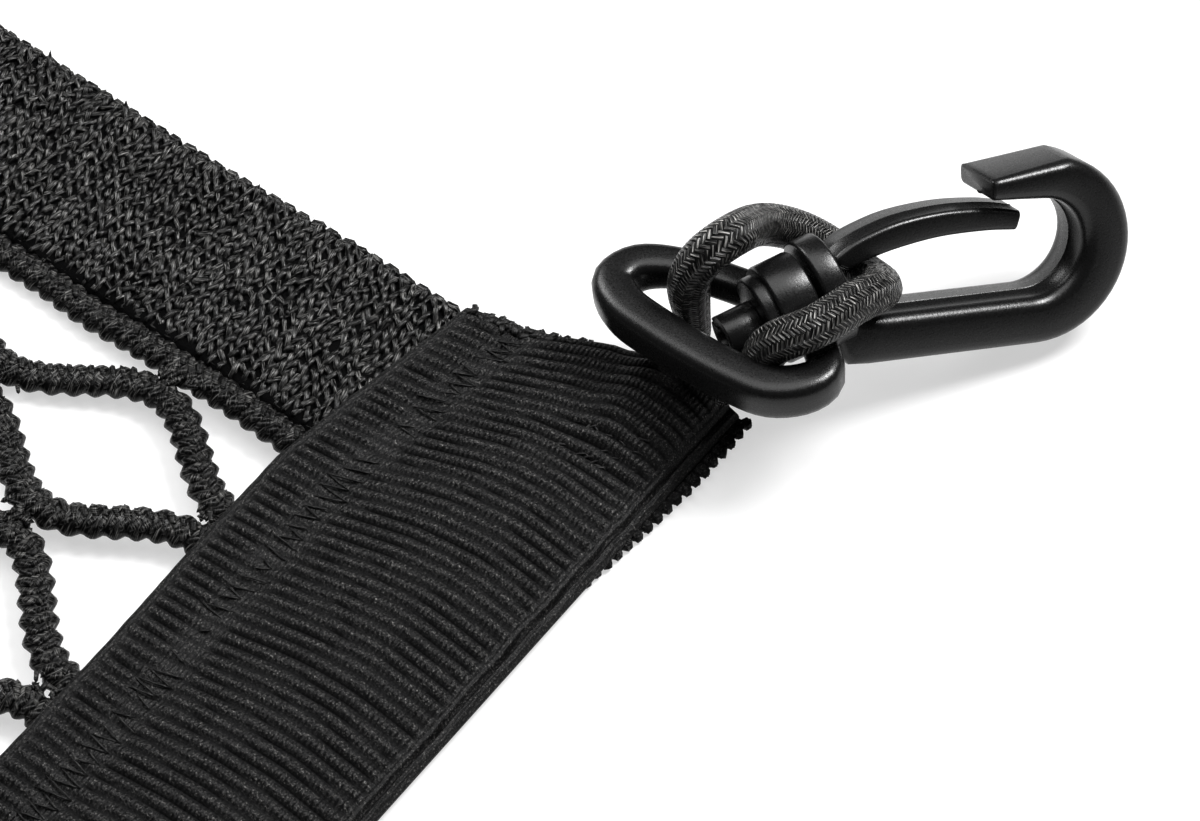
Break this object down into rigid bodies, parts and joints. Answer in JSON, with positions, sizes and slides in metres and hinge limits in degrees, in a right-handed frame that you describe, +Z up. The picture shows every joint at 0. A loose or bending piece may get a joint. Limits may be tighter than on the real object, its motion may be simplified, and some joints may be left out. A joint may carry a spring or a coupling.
{
  "type": "elastic cargo net",
  "caption": "Flat elastic cargo net: knitted diamond mesh and borders, ribbed webbing on the short sides, and a black snap hook on a cord loop at each corner.",
  "frame": {"origin": "on the floor, under the middle of the net", "axes": "+X along the knitted border bands, +Y along the webbing, +Z up"},
  "size_m": [0.5078, 0.3724, 0.0331],
  "materials": {
    "black_knit": "shiny raschel knit, slightly grey where it catches light",
    "black_ribbed_webbing": "matte ribbed elastic with fuzzy yarns",
    "black_braid": "fine braided jacket with a slight sheen",
    "black_plastic": "fine matte grain, moulded",
    "black_plastic_gate": "fine matte grain, moulded",
    "black_plastic_ring": "fine matte grain, moulded"
  },
  "bodies": {
    "netting": {"net": "black_knit", "webbing_upper_left": "black_ribbed_webbing", "webbing_upper_right": "black_ribbed_webbing", "webbing_lower_left": "black_ribbed_webbing", "webbing_lower_right": "black_ribbed_webbing", "cord_loop_1": "black_braid", "cord_loop_2": "black_braid", "cord_loop_3": "black_braid", "cord_loop_4": "black_braid", "eye_ring_1": "black_plastic_ring", "eye_ring_2": "black_plastic_ring", "eye_ring_3": "black_plastic_ring", "eye_ring_4": "black_plastic_ring", "hook_1": "black_plastic", "hook_2": "black_plastic", "hook_3": "black_plastic", "hook_4": "black_plastic"},
    "gate_1": {"gate_1": "black_plastic_gate"},
    "gate_2": {"gate_2": "black_plastic_gate"},
    "gate_3": {"gate_3": "black_plastic_gate"},
    "gate_4": {"gate_4": "black_plastic_gate"}
  },
  "joints": [
    {"name": "gate_1_flex", "type": "hinge", "parent": "netting", "child": "gate_1", "pos_m": [0.22441, 0.1482, 0.02252], "axis": [0.7707, -0.3927, 0.5018], "range_deg": [-13, 0], "stiffness_Nm_per_rad": 0.02},
    {"name": "gate_2_flex", "type": "hinge", "parent": "netting", "child": "gate_2", "pos_m": [-0.22441, 0.1482, 0.02252], "axis": [0.7707, 0.3927, -0.5018], "range_deg": [-13, 0], "stiffness_Nm_per_rad": 0.02},
    {"name": "gate_3_flex", "type": "hinge", "parent": "netting", "child": "gate_3", "pos_m": [-0.22441, -0.1482, 0.02252], "axis": [-0.7707, 0.3927, 0.5018], "range_deg": [-13, 0], "stiffness_Nm_per_rad": 0.02},
    {"name": "gate_4_flex", "type": "hinge", "parent": "netting", "child": "gate_4", "pos_m": [0.22441, -0.1482, 0.02252], "axis": [-0.7707, -0.3927, -0.5018], "range_deg": [-13, 0], "stiffness_Nm_per_rad": 0.02}
  ]
}
